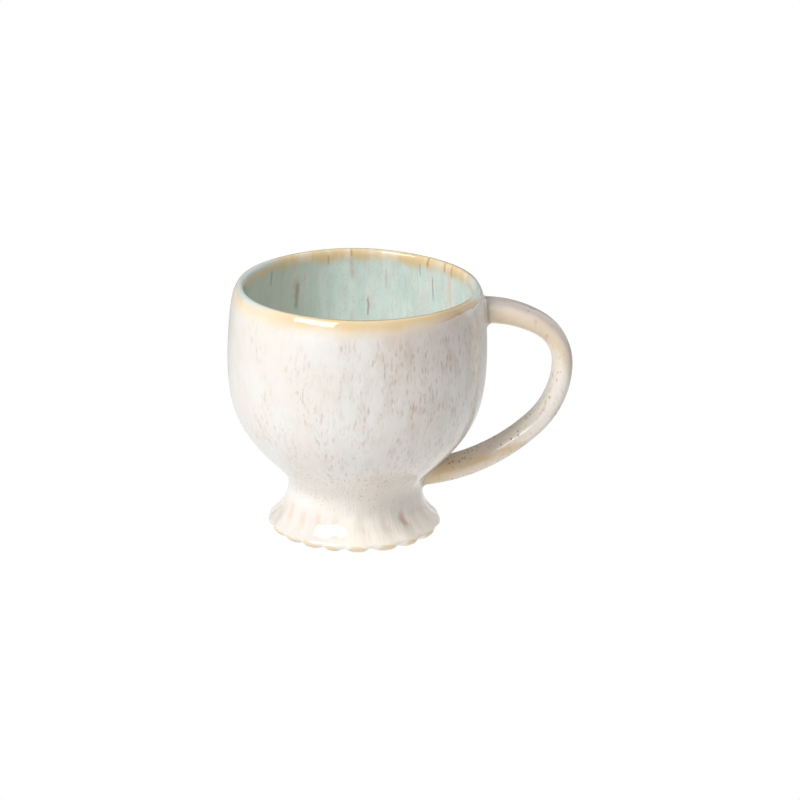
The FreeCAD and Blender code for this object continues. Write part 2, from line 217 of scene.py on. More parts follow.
@dataclass
class Bowl:
    """The thrown bowl: neck, belly, rolled lip and inside. Millimetres."""

    foot: Foot
    lip: Pair = (43.0, 93.6)
    lip_rounds: Pair = (1.5, 1.1)
    lip_slopes: Pair = (33.0, 26.0)
    lip_legs: Pair = (2.3, 1.8)
    wall: float = 4.2
    run_out: Pair = (25.3, 12.4)
    neck_radius: float = 24.4
    neck_heights: Pair = (16.3, 20.5)
    underside: Pair = (32.4, 27.5)
    hip: Pair = (43.5, 39.9)
    hip_wall: float = 5.0
    belly: Pair = (48.3, 57.0)
    shoulder: Pair = (46.8, 87.0)
    floor_height: float = 22.1
    floor_radius: float = 18.4
    cove: Pair = (22.2, 25.6)
    samples: int = 1500
    lip_samples: int = 60

    def __post_init__(self) -> None:
        """Work out the outside and the inside as dense lines of radius, height and arc length."""
        (outer_leg, outer_round), (inner_leg, inner_round) = (self.lip_side(side) for side in Side)
        upper = smooth_line((
            self.run_out, (self.neck_radius, self.neck_heights[0]), (self.neck_radius, self.neck_heights[1]),
            self.underside, self.hip, self.belly, self.shoulder, outer_leg, outer_round[0],
        ), self.samples)
        self.outside = np.vstack([self.flare_line(), upper[1:], outer_round[1:]])
        self.outside_length = arc_lengths(self.outside)
        inside = smooth_line((
            (0.0, self.floor_height), (self.floor_radius, self.floor_height), self.cove,
            (self.hip[0] - self.hip_wall, self.hip[1]), (self.belly[0] - self.wall, self.belly[1]),
            (self.shoulder[0] - self.wall, self.shoulder[1]), inner_leg, inner_round[0],
        ), self.samples)
        self.inside = np.vstack([inside, inner_round[1:]])[::-1]
        self.inside_length = arc_lengths(self.inside)

    def lip_side(self, side: Side) -> tuple[Pair, np.ndarray]:
        """Work out one side of the lip.

        Args:
            side: The outer or the inner side.

        Returns:
            The foot of its slope, and the round from there to the crest.
        """
        way = 1.0 if side is Side.OUTER else -1.0
        bend, slope, leg = (sizes[side.value] for sizes in (self.lip_rounds, self.lip_slopes, self.lip_legs))
        start = radians(slope)
        turn = np.linspace(start, pi / 2, self.lip_samples)
        line = np.array(self.lip) + bend * np.column_stack([way * np.cos(turn), np.sin(turn) - 1.0])
        return (float(line[0, 0] + way * leg * sin(start)), float(line[0, 1] - leg * cos(start))), line

    def flare_line(self) -> np.ndarray:
        """Radius and height up the crests of the pleats, from the table to where they run out."""
        foot = self.foot
        turn = smooth_line((
            (foot.sole_radius, 0.0), (foot.sole_radius + foot.sole_bend[0], foot.sole_bend[1]),
            (foot.skirt_radius, foot.skirt_start), (foot.skirt_radius + foot.skirt_bulge, foot.skirt_height),
        ), foot.sole_samples)
        rise = self.run_out[1] - foot.skirt_height
        lean = (self.run_out[0] - self.neck_radius) / (self.neck_heights[0] - self.run_out[1])
        flare = foot.skirt_radius - self.run_out[0] - lean * rise
        left = np.linspace(1.0, 0.0, foot.flare_samples)
        radius = self.run_out[0] + lean * rise * left + flare * left ** 2
        return np.vstack([turn, np.column_stack([radius, self.run_out[1] - rise * left])[1:]])

    def at(self, angles: np.ndarray, lengths: np.ndarray) -> np.ndarray:
        """Points of the outside.

        Args:
            angles: Angles about the axis, in radians.
            lengths: Arc lengths up the outside from the table, one for each angle.

        Returns:
            The points, with a last axis of three.
        """
        radius = np.interp(lengths, self.outside_length, self.outside[:, 0])
        height = np.interp(lengths, self.outside_length, self.outside[:, 1])
        radius = radius - self.foot.pressed(angles, height)[0]
        return turned(radius, angles, height)

    def nearest(self, points: np.ndarray) -> tuple[np.ndarray, np.ndarray]:
        """Find the nearest places on the outside.

        Args:
            points: Points, one to a row.

        Returns:
            Each point's distance, below 0 inside the clay, and the arc length of its nearest place.
        """
        radius = np.hypot(points[:, 0], points[:, 1])
        spots = np.column_stack([radius, points[:, 2]])
        starts, ends = self.outside[:-1], self.outside[1:]
        ways = ends - starts
        offset = spots[:, None, :] - starts[None]
        share = np.clip((offset * ways).sum(-1) / (ways ** 2).sum(-1), 0.0, 1.0)
        gap = offset - share[..., None] * ways
        reach = np.linalg.norm(gap, axis=-1)
        best = reach.argmin(axis=1)
        rows = np.arange(len(points))
        way = ways[best]
        out = np.column_stack([way[:, 1], -way[:, 0]])
        side = np.sign((gap[rows, best] * out).sum(-1))
        step = np.diff(self.outside_length)
        return reach[rows, best] * side, self.outside_length[best] + share[rows, best] * step[best]

    def length_at(self, height: float) -> float:
        """Arc length up the outside at a height between the foot and the lip."""
        return float(np.interp(height, self.outside[:, 1], self.outside_length))


@dataclass
class Strap:
    """The handle's strap: an oval drawn along four smooth arcs. Millimetres and degrees."""

    start: Pair = (44.7, 82.75)
    furthest: Pair = (76.3, 61.0)
    end: Pair = (23.3, 19.6)
    upper_turns: Pair = (59.9, 31.8)
    lower_turns: Pair = (46.3, 41.1)
    top_section: Pair = (13.4, 9.0)
    reach_section: Pair = (12.6, 7.3)
    low_section: Pair = (13.4, 8.6)
    squareness: float = 2.35
    samples: int = 400

    def __post_init__(self) -> None:
        """Work out the middle line, its directions and its lengths."""
        upper = self.half(self.start, self.upper_turns, 1)[::-1]
        lower = self.half(self.end, self.lower_turns, -1)
        self.line = np.vstack([upper, lower[1:]])
        self.length = arc_lengths(self.line)
        ways = np.gradient(self.line, self.length, axis=0)
        self.ways = ways / np.linalg.norm(ways, axis=1)[:, None]
        self.furthest_length = self.length[len(upper) - 1]

    def half(self, tip: Pair, turns: Pair, side: int) -> np.ndarray:
        """Draw half of the middle line, along a bend and then an arm.

        Args:
            tip: Where the half ends in the clay.
            turns: How far the bend and the arm turn, in degrees.
            side: 1 for the upper half and -1 for the lower one.

        Returns:
            The points, from the furthest place to the tip.
        """
        bent, whole = radians(turns[0]), radians(sum(turns))
        across, along = self.furthest[0] - tip[0], (tip[1] - self.furthest[1]) * side
        rows = np.array([[1 - cos(bent), cos(bent) - cos(whole)], [sin(bent), sin(whole) - sin(bent)]])
        bend, arm = np.linalg.solve(rows, [across, along])
        angles = np.linspace(0.0, whole, self.samples)
        radius = np.where(angles < bent, bend, arm)
        near = np.array([self.furthest[0] - bend, self.furthest[1]])
        far = near - np.array([cos(bent), sin(bent) * side]) * (arm - bend)
        middle = np.where((angles < bent)[:, None], near, far)
        return middle + radius[:, None] * np.column_stack([np.cos(angles), np.sin(angles) * side])

    def section(self, lengths: np.ndarray) -> tuple[np.ndarray, np.ndarray]:
        """Half width and half thickness at places along the strap."""
        to_top = ease(self.furthest_length - lengths, 0.0, self.furthest_length)
        to_low = ease(lengths - self.furthest_length, 0.0, self.length[-1] - self.furthest_length)
        width, thickness = (
            middle + (top - middle) * to_top + (low - middle) * to_low
            for middle, top, low in zip(self.reach_section, self.top_section, self.low_section)
        )
        return width / 2, thickness / 2

    def at(self, turns: np.ndarray, lengths: np.ndarray, proud: float = 0.0) -> np.ndarray:
        """Points on the strap or standing off it.

        Args:
            turns: Angles round the section, 0 on its outer face and a quarter turn on its +Y edge.
            lengths: Lengths along the middle line, one for each angle.
            proud: How far the points stand off the strap's surface.

        Returns:
            The points, with a last axis of three.
        """
        half_width, half_thickness = self.section(lengths)
        power = 2.0 / self.squareness
        out = half_thickness * np.sign(np.cos(turns)) * np.abs(np.cos(turns)) ** power
        side = half_width * np.sign(np.sin(turns)) * np.abs(np.sin(turns)) ** power
        normal_out = np.sign(np.cos(turns)) * np.abs(out / half_thickness) ** (self.squareness - 1) / half_thickness
        normal_side = np.sign(np.sin(turns)) * np.abs(side / half_width) ** (self.squareness - 1) / half_width
        size = np.hypot(normal_out, normal_side)
        out = out + proud * normal_out / size
        side = side + proud * normal_side / size
        x, z, way_x, way_z = (
            np.interp(lengths, self.length, values)
            for values in (self.line[:, 0], self.line[:, 1], self.ways[:, 0], self.ways[:, 1])
        )
        return np.stack([x - out * way_z, side, z + out * way_x], axis=-1)


@dataclass
class Joint:
    """Where the strap grows out of the bowl: a hole in the bowl's grid of faces, and a round to fill it."""

    low_row: int
    rows: int
    columns: int
    at_top: bool
    start: float
    radius: float = 2.2
    steps: int = 5
    searched: float = 0.5
    tries: int = 240
    feet: np.ndarray = field(init=False)
    lengths: np.ndarray = field(init=False)
    arcs: np.ndarray = field(init=False)

    def settle(self, bowl: Bowl, strap: Strap, turns: np.ndarray) -> None:
        """Find where a ball rolled round the joint touches the bowl and the strap.

        Args:
            bowl: The bowl.
            strap: The strap.
            turns: Angles round the strap's section.
        """
        scan = np.linspace(0.0, strap.length[-1] * self.searched, self.tries)
        if not self.at_top:
            scan = strap.length[-1] - scan
        found = []
        for turn in turns:
            balls = strap.at(np.full(len(scan), turn), scan, self.radius)
            clear = bowl.nearest(balls)[0] - self.radius
            last = np.nonzero(clear < 0)[0][-1]
            share = clear[last] / (clear[last] - clear[last + 1])
            found.append(scan[last] + (scan[last + 1] - scan[last]) * share)
        self.lengths = np.array(found)
        balls = strap.at(turns, self.lengths, self.radius)
        on_strap = strap.at(turns, self.lengths)
        angles = np.arctan2(balls[:, 1], balls[:, 0])
        self.feet = np.column_stack([angles, bowl.nearest(balls)[1]])
        on_bowl = bowl.at(self.feet[:, 0], self.feet[:, 1])
        from_bowl, from_strap = on_bowl - balls, on_strap - balls
        opening = np.arccos(np.clip(
            (from_bowl * from_strap).sum(-1)
            / np.linalg.norm(from_bowl, axis=1) / np.linalg.norm(from_strap, axis=1), -1.0, 1.0))
        shares = np.linspace(0.0, 1.0, self.steps + 1)[:, None, None]
        angle = opening[None, :, None]
        self.arcs = balls + (
            np.sin((1 - shares) * angle) * from_bowl + np.sin(shares * angle) * from_strap) / np.sin(angle)


class Grid:
    """Vertices and faces of the mug as they are added, with what the glaze needs to know of each place."""

    def __init__(self) -> None:
        """Start with nothing."""
        self.points: list[np.ndarray] = []
        self.place: list[np.ndarray] = []
        self.flow: list[np.ndarray] = []
        self.strap: list[np.ndarray] = []
        self.faces: list[tuple[int, ...]] = []
        self.count = 0

    def add(
        self, points: np.ndarray, from_lip: Any, flow: np.ndarray, furrow: Any = 0.0, strap: Any = 0.0
    ) -> np.ndarray:
        """Add vertices.

        Args:
            points: Where they are, with a last axis of three.
            from_lip: Arc length down the outside from the lip's crest, below 0 on the inside.
            flow: Their places in the glaze's flow, with a last axis of three.
            furrow: How near the middle of a furrow of the foot they are, 0 to 1.
            strap: On the handle, how much of it they are, their share along it and the face they are on.

        Returns:
            Their numbers, in the shape of the grid that they came in.
        """
        shape = points.shape[:-1]
        total = int(np.prod(shape))
        place = np.stack(np.broadcast_arrays(from_lip, furrow, points[..., 2]), axis=-1)
        for kept, values in zip((self.points, self.place, self.flow, self.strap), (points, place, flow, strap)):
            kept.append(np.broadcast_to(values, (*shape, 3)).reshape(total, 3))
        numbers = np.arange(self.count, self.count + total).reshape(shape)
        self.count += total
        return numbers

    def face(self, *corners: int) -> None:
        """Add a face between vertices."""
        self.faces.append(tuple(int(corner) for corner in corners))

    def strip(self, first: np.ndarray, second: np.ndarray) -> None:
        """Join two closed rows of vertices by quads."""
        for index in range(len(first)):
            after = (index + 1) % len(first)
            self.face(first[index], first[after], second[after], second[index])

    def close(self, ring: np.ndarray, middle: np.ndarray) -> None:
        """Close a round with a fan of faces about its middle."""
        for index in range(len(ring)):
            self.face(ring[index], ring[(index + 1) % len(ring)], middle[0])


@dataclass
class Mug:
    """The whole mug, built as one closed mesh of rows and columns. Millimetres."""

    bowl: Bowl
    strap: Strap
    section_points: int = 76
    strap_rings: int = 96
    joint_margin: int = 9
    sole_length: float = 3.6
    joint_heights: tuple[float, ...] = (13.0, 27.2, 75.6, 89.9)
    row_steps: tuple[int, ...] = (8, 14, 12, 42, 24, 13)
    joint_columns: tuple[int, int] = (26, 14)
    room_rounds: int = 600
    even_from: float = 9.0
    lip_length: float = 4.4
    inside_steps: tuple[int, int] = (8, 77)
    summit_flow: float = 40.0
    ring_evenness: float = 0.65
    waver: float = 0.3
    waver_heights: Pair = (20.0, 95.0)
    waver_radii: Pair = (5.0, 30.0)
    sink: float = 0.1

    def __post_init__(self) -> None:
        """Work out the columns, the one on the handle's middle plane and the turns round the strap."""
        self.grid = Grid()
        self.columns = self.bowl.foot.columns()
        self.zero = int(np.argmin(np.abs((self.columns + pi) % (2 * pi) - pi)))
        self.turns = np.arange(self.section_points) / self.section_points * 2 * pi

    def outside_rows(self) -> tuple[np.ndarray, Joint, Joint]:
        """Arc lengths of the outside's rows, and the low joint and the top one set among them."""
        steps, (low_columns, top_columns) = self.row_steps, self.joint_columns
        heights = (self.bowl.length_at(height) for height in self.joint_heights)
        stops = (0.0, self.sole_length, *heights, self.bowl.outside_length[-1])
        rows = [np.linspace(start, end, count + 1)[1:] for start, end, count in zip(stops, stops[1:], steps)]
        low = Joint(sum(steps[:2]), steps[2], low_columns, False, stops[2])
        top = Joint(sum(steps[:4]), steps[4], top_columns, True, stops[4])
        return np.concatenate([[0.0], *rows]), low, top

    def ring_cells(self, joint: Joint) -> list[tuple[int, int]]:
        """Row, and column from the handle's middle plane, of each vertex round a joint's hole."""
        half = joint.columns // 2
        outer_row = joint.low_row + (joint.rows if joint.at_top else 0)
        inner_row = joint.low_row + (0 if joint.at_top else joint.rows)
        step = -1 if joint.at_top else 1
        loop = [(outer_row, column) for column in range(0, half)]
        loop += [(row, half) for row in range(outer_row, inner_row, step)]
        loop += [(inner_row, column) for column in range(half, -half, -1)]
        loop += [(row, -half) for row in range(inner_row, outer_row, -step)]
        loop += [(outer_row, column) for column in range(-half, 0)]
        return loop

    def make_room(self, angles: np.ndarray, lengths: np.ndarray, joint: Joint) -> None:
        """Move the grid round a joint's hole so that the hole's edge lies where the joint's round begins.

        Args:
            angles: Angles of the grid's vertices, changed in place.
            lengths: Arc lengths of the grid's vertices, changed in place.
            joint: The joint.
        """
        zero, count = self.zero, len(self.columns)
        half = joint.columns // 2 + self.joint_margin
        above = min(angles.shape[0] - 2, joint.low_row + joint.rows + self.joint_margin)
        below = max(1, joint.low_row - self.joint_margin)
        rows = np.arange(below, above + 1)
        columns = np.arange(zero - half, zero + half + 1) % count
        shift = np.zeros((len(rows), len(columns), 2))
        fixed = np.zeros(shift.shape[:2], bool)
        fixed[0] = fixed[-1] = fixed[:, 0] = fixed[:, -1] = True
        for (row, offset), (angle, length) in zip(self.ring_cells(joint), joint.feet):
            i, j = row - below, offset + half
            here = angles[row, (zero + offset) % count]
            shift[i, j] = ((angle - here + pi) % (2 * pi) - pi, length - lengths[row, (zero + offset) % count])
            fixed[i, j] = True
        held = shift.copy()
        for _ in range(self.room_rounds):
            spread = shift.copy()
            spread[1:-1, 1:-1] = (shift[:-2, 1:-1] + shift[2:, 1:-1] + shift[1:-1, :-2] + shift[1:-1, 2:]) / 4
            shift = np.where(fixed[..., None], held, spread)
        angles[np.ix_(rows, columns)] += shift[..., 0]
        lengths[np.ix_(rows, columns)] += shift[..., 1]

    def build(self) -> Grid:
        """Build the outside, the inside, the underside and the handle."""
        bowl, grid, columns, count = self.bowl, self.grid, self.columns, len(self.columns)
        row_lengths, low, top = self.outside_rows()
        even = columns[0] + np.arange(count) / count * 2 * pi
        even -= (even[self.zero] + pi) % (2 * pi) - pi
        risen = ease(row_lengths, self.even_from, low.start)[:, None]
        angles = columns * (1 - risen) + even * risen
        lengths = np.tile(row_lengths[:, None], (1, count))
        for joint in (low, top):
            joint.settle(bowl, self.strap, self.turns)
            self.make_room(angles, lengths, joint)
        points = bowl.at(angles, lengths)
        down = bowl.outside_length[-1] - lengths
        numbers = grid.add(points, down, self.flow(angles, down), bowl.foot.pressed(angles, points[..., 2])[1])
        for row, column in np.ndindex(len(row_lengths) - 1, count):
            if not self.in_hole(row, column, (low, top)):
                after = (column + 1) % count
                grid.face(*numbers[row, [column, after]], *numbers[row + 1, [after, column]])
        self.add_inside(numbers[-1])
        self.add_underside(numbers[0], points[0])
        self.add_handle(numbers, (top, low))
        return grid

    def flow(self, angles: np.ndarray, lengths: np.ndarray) -> np.ndarray:
        """Place in the glaze's flow: round the mug at one radius, and down it by arc length."""
        return turned(self.bowl.belly[0], angles, lengths)

    def in_hole(self, row: int, column: int, joints: Iterable[Joint]) -> bool:
        """Tell whether the outside's face at a row and a column lies in the hole of a joint."""
        count = len(self.columns)
        offset = (column - self.zero + count // 2) % count - count // 2
        return any(
            joint.low_row <= row < joint.low_row + joint.rows and -joint.columns <= 2 * offset < joint.columns
            for joint in joints)

    def add_inside(self, lip: np.ndarray) -> None:
        """Add the inside, from the vertices on the lip's crest down to the middle of the floor."""
        bowl, grid = self.bowl, self.grid
        total = bowl.inside_length[-1]
        over, below = self.inside_steps
        stations = np.concatenate([
            np.linspace(0.0, self.lip_length, over + 1)[1:-1], np.linspace(self.lip_length, total - 1.0, below + 1)])
        radius = np.interp(stations, bowl.inside_length, bowl.inside[:, 0])
        height = np.interp(stations, bowl.inside_length, bowl.inside[:, 1])
        rows, angles = np.meshgrid(np.arange(len(stations)), self.columns, indexing="ij")
        down = -stations[rows]
        numbers = grid.add(turned(radius[rows], angles, height[rows]), down, self.flow(angles, down))
        before = lip
        for row in numbers:
            grid.strip(before, row)
            before = row
        middle = grid.add(np.array([[0.0, 0.0, bowl.floor_height]]), -total, np.array([0.0, 0.0, -total]))
        grid.close(before, middle)

    def add_underside(self, sole: np.ndarray, edge: np.ndarray) -> None:
        """Add the standing ring and the domed hollow.

        Args:
            sole: The vertices on the foot's edge.
            edge: Where those vertices are.
        """
        foot = self.bowl.foot
        mouth, bend = foot.hollow_radius, foot.hollow_round
        top = mouth - foot.hollow_draft
        dome = (top ** 2 + foot.dome_rise ** 2) / (2 * foot.dome_rise)
        line = [(mouth + bend, 0.0)]
        line += [(mouth + bend - bend * sin(turn), bend - bend * cos(turn)) for turn in np.linspace(0.3, 1.4, 4)]
        line += [(mouth - foot.hollow_draft * share, foot.hollow_side * share) for share in (0.35, 0.6, 0.8, 0.95)]
        summit = foot.hollow_side + foot.dome_rise
        for radius in np.linspace(top, 1.0, 14)[1:]:
            line.append((radius, summit - dome + (dome ** 2 - radius ** 2) ** 0.5))
        edge_radius = np.hypot(edge[:, 0], edge[:, 1])
        before = sole
        for share in (0.3, 0.65):
            before = self.under_row(edge_radius + (line[0][0] - edge_radius) * share, 0.0, before)
        for radius, height in line:
            before = self.under_row(np.full(len(self.columns), radius), height, before)
        far = self.bowl.outside_length[-1] + self.summit_flow
        self.grid.close(before, self.grid.add(np.array([[0.0, 0.0, summit]]), far, np.array([far, 0.0, summit])))

    def under_row(self, radius: np.ndarray, height: float, before: np.ndarray) -> np.ndarray:
        """Add one row of the underside and join it to the row before it.

        Args:
            radius: The row's radius at each column.
            height: The row's height above the table.
            before: The vertices of the row before it.

        Returns:
            The new vertices' numbers.
        """
        down = self.bowl.outside_length[-1] + self.bowl.foot.sole_radius - radius
        numbers = self.grid.add(turned(radius, self.columns, height), down, self.flow(self.columns, down))
        self.grid.strip(numbers, before)
        return numbers

    def add_handle(self, outside: np.ndarray, joints: tuple[Joint, Joint]) -> None:
        """Add the strap and the rounds at its two joints, welded to the edges of the holes.

        Args:
            outside: The outside's vertices, by row and column.
            joints: The top joint and the low one.
        """
        strap, grid, turns, (top, low) = self.strap, self.grid, self.turns, joints
        even = np.linspace(0.0, 1.0, self.strap_rings)
        shares = ease(even, 0.0, 1.0) * (1.0 - self.ring_evenness) + even * self.ring_evenness
        lengths = top.lengths + (low.lengths - top.lengths) * shares[:, None]
        rings = strap.at(np.tile(turns, (self.strap_rings, 1)), lengths)
        points = np.concatenate([top.arcs[1:-1], rings, low.arcs[-2:0:-1]])
        along = np.concatenate([
            np.tile(lengths[0], (top.steps - 1, 1)), lengths, np.tile(lengths[-1], (low.steps - 1, 1))])
        weight = np.ones(len(points))
        weight[:top.steps - 1] = np.linspace(0.0, 1.0, top.steps + 1)[1:-1]
        weight[-(low.steps - 1):] = np.linspace(1.0, 0.0, low.steps + 1)[1:-1]
        weight = np.tile(weight[:, None], (1, len(turns)))
        around = np.tile(turns, (len(points), 1))
        flow = points.copy()
        flow[..., 2] = along
        kept = np.stack([weight, along / strap.length[-1], np.abs(around / pi - 1.0)], axis=-1)
        numbers = grid.add(points, self.bowl.outside_length[-1] - points[..., 2], flow, 0.0, kept)
        before, last = (
            np.array([outside[row, (self.zero + offset) % len(self.columns)] for row, offset in self.ring_cells(joint)])
            for joint in joints)
        for ring in numbers:
            grid.strip(ring, before)
            before = ring
        grid.strip(last, before)

    def uneven(self, points: np.ndarray) -> np.ndarray:
        """Let the form waver a little, as a hand-made one does, most at the lip and nowhere at the table.

        Args:
            points: The even form's points, one to a row.

        Returns:
            The points of the uneven form.
        """
        angle = np.arctan2(points[:, 1], points[:, 0])
        lift = ease(points[:, 2], *self.waver_heights)
        moved = points.copy()
        swell = self.waver * lift * (np.sin(2 * angle + 0.6) + 0.5 * np.sin(3 * angle + 2.1))
        radius = np.maximum(np.hypot(points[:, 0], points[:, 1]), 1.0)
        moved[:, :2] *= (1.0 + swell / radius * ease(radius, *self.waver_radii))[:, None]
        rise = 0.7 * np.sin(2 * angle - 1.3) + 0.4 * np.sin(5 * angle + 0.4)
        moved[:, 2] += self.waver * lift * rise - self.sink * lift
        return moved


def arithmetic(operation: str, reflected: bool = False) -> Callable[["Wire", Any], "Wire"]:
    """Make an operator of Wire.

    Args:
        operation: The Math node's operation.
        reflected: Whether the wire stands behind the sign.

    Returns:
        The operator, which adds the node.
    """
    def work(wire: "Wire", other: Any) -> "Wire":
        """Add the Math node and take its result."""
        sockets = {0: other, 1: wire} if reflected else {0: wire, 1: other}
        return wire.bench.wire("Math", sockets, operation=operation)

    return work


class Wire:
    """A number or colour on its way between shader nodes. Arithmetic on a number adds Math nodes."""

    __add__ = arithmetic("ADD")
    __radd__ = arithmetic("ADD", True)
    __sub__ = arithmetic("SUBTRACT")
    __rsub__ = arithmetic("SUBTRACT", True)
    __mul__ = arithmetic("MULTIPLY")
    __rmul__ = arithmetic("MULTIPLY", True)
    __truediv__ = arithmetic("DIVIDE")
    __rtruediv__ = arithmetic("DIVIDE", True)

    def __init__(self, bench: "Bench", socket: Any) -> None:
        """Keep the bench that adds nodes, and the socket that the wire comes from."""
        self.bench = bench
        self.socket = socket

    def __abs__(self) -> "Wire":
        """Size without sign."""
        return self.bench.wire("Math", {0: self}, operation="ABSOLUTE")

    def rise(self, start: float, end: float) -> "Wire":
        """Rise smoothly from 0 at start to 1 at end, or fall where end is the smaller."""
        sockets = {"Value": self, "From Min": start, "From Max": end}
        return self.bench.wire("MapRange", sockets, interpolation_type="SMOOTHSTEP")

    def band(self, start: float, full: float, fade: float, end: float) -> "Wire":
        """Rise from 0 at start to 1 at full, and fall from there at fade to 0 at end."""
        return self.rise(start, full) * self.rise(end, fade)

    def coat(self, glaze: Any, share: "Wire") -> "Wire":
        """Lay a glaze over this colour, as thick as its share says."""
        return self.bench.mix(share, self, glaze)


class Bench:
    """Where the nodes of a material or a world are put together."""

    def __init__(self, owner: Any) -> None:
        """Start a new material or world with no nodes."""
        self.owner = owner
        owner.use_nodes = True
        self.tree = owner.node_tree
        self.tree.nodes.clear()

    def node(self, kind: str, sockets: dict[Any, Any], **settings: Any) -> Any:
        """Add a node.

        Args:
            kind: The node's type, without the word ShaderNode.
            sockets: A value or a wire for each input, by name or number.
            settings: The node's own settings, set first.

        Returns:
            The node.
        """
        node = self.tree.nodes.new("ShaderNode" + kind)
        for key, value in settings.items():
            setattr(node, key, value)
        for key, value in sockets.items():
            if isinstance(value, Wire):
                self.tree.links.new(value.socket, node.inputs[key])
            else:
                node.inputs[key].default_value = value
        return node

    def wire(self, kind: str, sockets: dict[Any, Any], output: Any = 0, **settings: Any) -> Wire:
        """Add a node and take one of its outputs."""
        return Wire(self, self.node(kind, sockets, **settings).outputs[output])

    def split(self, kind: str, source: Wire) -> tuple[Wire, Wire, Wire]:
        """Take a vector or a colour apart."""
        node = self.node(kind, {0: source})
        return Wire(self, node.outputs[0]), Wire(self, node.outputs[1]), Wire(self, node.outputs[2])

    def vector(self, name: str) -> Wire:
        """An attribute that the mesh carries, as a vector."""
        return self.wire("Attribute", {}, "Vector", attribute_name=name)

    def parts(self, name: str) -> tuple[Wire, Wire, Wire]:
        """The three numbers of an attribute that the mesh carries."""
        return self.split("SeparateXYZ", self.vector(name))

    def mix(self, share: Wire, first: Any, second: Any) -> Wire:
        """Go from the first colour to the second."""
        return self.wire("Mix", {"Factor": share, 6: first, 7: second}, 2, data_type="RGBA", clamp_factor=True)


class Flow:
    """The way the glaze flowed, round the mug and down it, and what the mesh tells of each place. Millimetres."""

    def __init__(self, bench: Bench, around: float) -> None:
        """Take the flow and the places' numbers from the mesh, with the radius at which the flow goes round."""
        self.bench = bench
        self.around = around
        self.place = bench.vector("flow")
        self.from_lip, self.furrow, self.height = bench.parts("place")

    def scaled(self, across: float, down: float, shift: float) -> Wire:
        """Scale the flow across and down, and move it."""
        sockets = {0: self.place, 1: (across, across, down), 2: (shift, shift * 0.7, -shift)}
        return self.bench.wire("VectorMath", sockets, operation="MULTIPLY_ADD")

    def noise(
        self, across: float, down: float, shift: float, detail: float = 2.0, roughness: float = 0.5, warp: float = 0.0
    ) -> Wire:
        """Make soft noise.

        Args:
            across: Cells to a millimetre across the flow.
            down: Cells to a millimetre down the flow.
            shift: How far the pattern is moved, so that no two are alike.
            detail: How many times finer noise is added.
            roughness: How strong the finer noise is.
            warp: How far the noise is drawn out of shape.

        Returns:
            The noise, from 0 to 1.
        """
        place = self.scaled(across, down, shift)
        sockets = {"Vector": place, "Scale": 1.0, "Detail": detail, "Roughness": roughness, "Distortion": warp}
        return self.bench.wire("TexNoise", sockets)

    def cells(self, across: float, down: float, shift: float) -> tuple[Wire, Wire, Wire]:
        """Scatter points.

        Args:
            across: Points to a millimetre across the flow.
            down: Points to a millimetre down the flow.
            shift: How far the pattern is moved.

        Returns:
            The distance to the nearest point, and two random numbers of that point's own.
        """
        sockets = {"Vector": self.scaled(across, down, shift), "Scale": 1.0}
        found = self.bench.node("TexVoronoi", sockets, feature="F1")
        luck, kind, _ = self.bench.split("SeparateColor", Wire(self.bench, found.outputs["Color"]))
        return Wire(self.bench, found.outputs["Distance"]), luck, kind

    def along(self, angle: float) -> Wire:
        """How far a place lies in a level direction, given in degrees from +X."""
        way = (cos(radians(angle)), sin(radians(angle)), 0.0)
        return self.bench.wire("VectorMath", {0: self.place, 1: way}, "Value", operation="DOT_PRODUCT")

    def facing(self, angle: float) -> Wire:
        """How much a place faces a level direction, from 1 down to -1."""
        return self.along(angle) / self.around


@dataclass(frozen=True)
class Glazes:
    """The colours of the mug's glazes, as a screen shows them in even light, and of the shade, light and sheen painted
    over them.
    """

    # Painted light: a brighter cream for the handle's middle.
    bright: Colour = tint(250, 243, 233)
    milk: Colour = tint(241, 239, 234)
    cream: Colour = tint(239, 233, 224)
    # Grey-beige mottle, also laid as painted shade towards the side away from the softbox and in the foot's creases.
    shade: Colour = tint(217, 207, 196)
    blush: Colour = tint(230, 209, 197)
    peach: Colour = tint(240, 210, 190)
    fleck_warm: Colour = tint(198, 166, 150)
    fleck_cool: Colour = tint(182, 174, 168)
    # Dark specks, also laid as painted shade along the handle's joints.
    speck_and_joint_shade: Colour = tint(118, 110, 108)
    # Painted shade on the neck under the belly's overhang.
    neck: Colour = tint(241, 231, 220)
    # The skirt's darker tone, which also dims it where the softbox falls hardest.
    skirt: Colour = tint(229, 223, 215)
    # Painted light: a paler skirt on the side away from the softbox.
    skirt_painted_light: Colour = tint(251, 243, 230)
    honey: Colour = tint(232, 203, 154)
    honey_pale: Colour = tint(240, 223, 198)
    honey_brown: Colour = tint(206, 158, 88)
    tan: Colour = tint(218, 188, 148)
    # Painted highlight: a pale sheen on the crest at the rim's two ends.
    crest: Colour = tint(212, 219, 213)
    crest_green: Colour = tint(150, 170, 156)
    sea: Colour = tint(226, 238, 233)
    sea_deep: Colour = tint(214, 232, 226)
    sea_light: Colour = tint(236, 243, 239)
    sea_grey: Colour = tint(226, 219, 210)
    sea_shadow: Colour = tint(196, 196, 178)
    beige_deep: Colour = tint(216, 204, 180)
    run: Colour = tint(214, 188, 170)
    run_dark: Colour = tint(152, 132, 108)
    lilac: Colour = tint(208, 199, 193)
    grey: Colour = tint(224, 215, 203)
    umber: Colour = tint(216, 198, 172)
    beige: Colour = tint(245, 228, 206)
    clay: Colour = tint(222, 196, 156)


@dataclass(frozen=True)
class Run:
    """One run of glaze that stands out: where it hangs from the lip, and how far it reaches. Millimetres, degrees."""

    angle: float
    top: float
    bottom: float
    width: float
    strength: float
    colour: Colour


